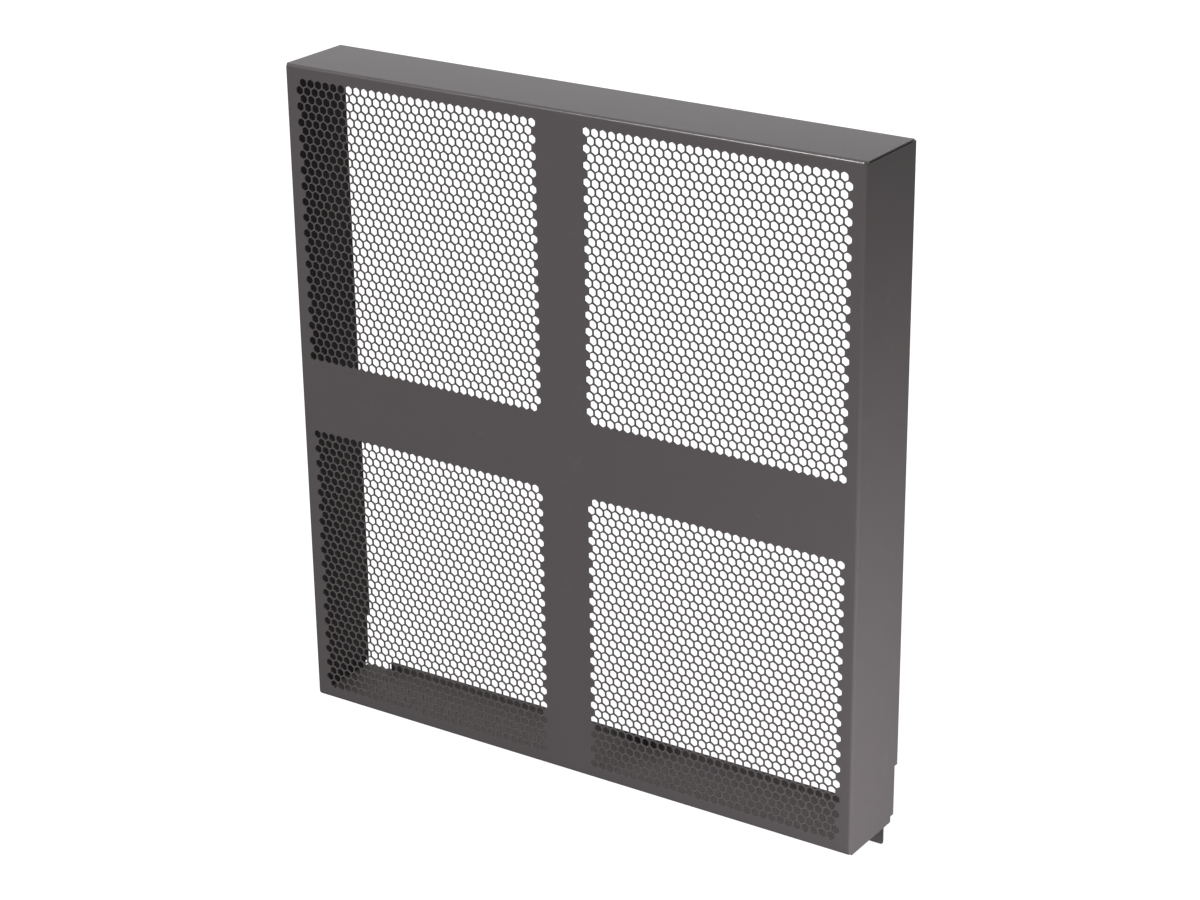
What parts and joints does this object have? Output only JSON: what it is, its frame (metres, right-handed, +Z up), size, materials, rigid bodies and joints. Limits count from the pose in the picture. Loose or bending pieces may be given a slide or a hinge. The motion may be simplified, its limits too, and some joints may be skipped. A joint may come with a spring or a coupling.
{
  "type": "rack front cover",
  "caption": "Folded sheet-steel front cover for an equipment rack: a deep pan with honeycomb-perforated fields round a plain cross, hooked on at its bottom edge.",
  "frame": {"origin": "midway between the two hooks, on their front faces and level with the seat under the bottom flange", "axes": "+X across the cover to the right as seen from its front, +Y from the front to the open rear, +Z up"},
  "size_m": [0.4826, 0.0675, 0.5335],
  "materials": {
    "cover_sheet": "dark grey fine-texture powder coat"
  },
  "bodies": {
    "root": {"front_cover": "cover_sheet"}
  },
  "joints": []
}
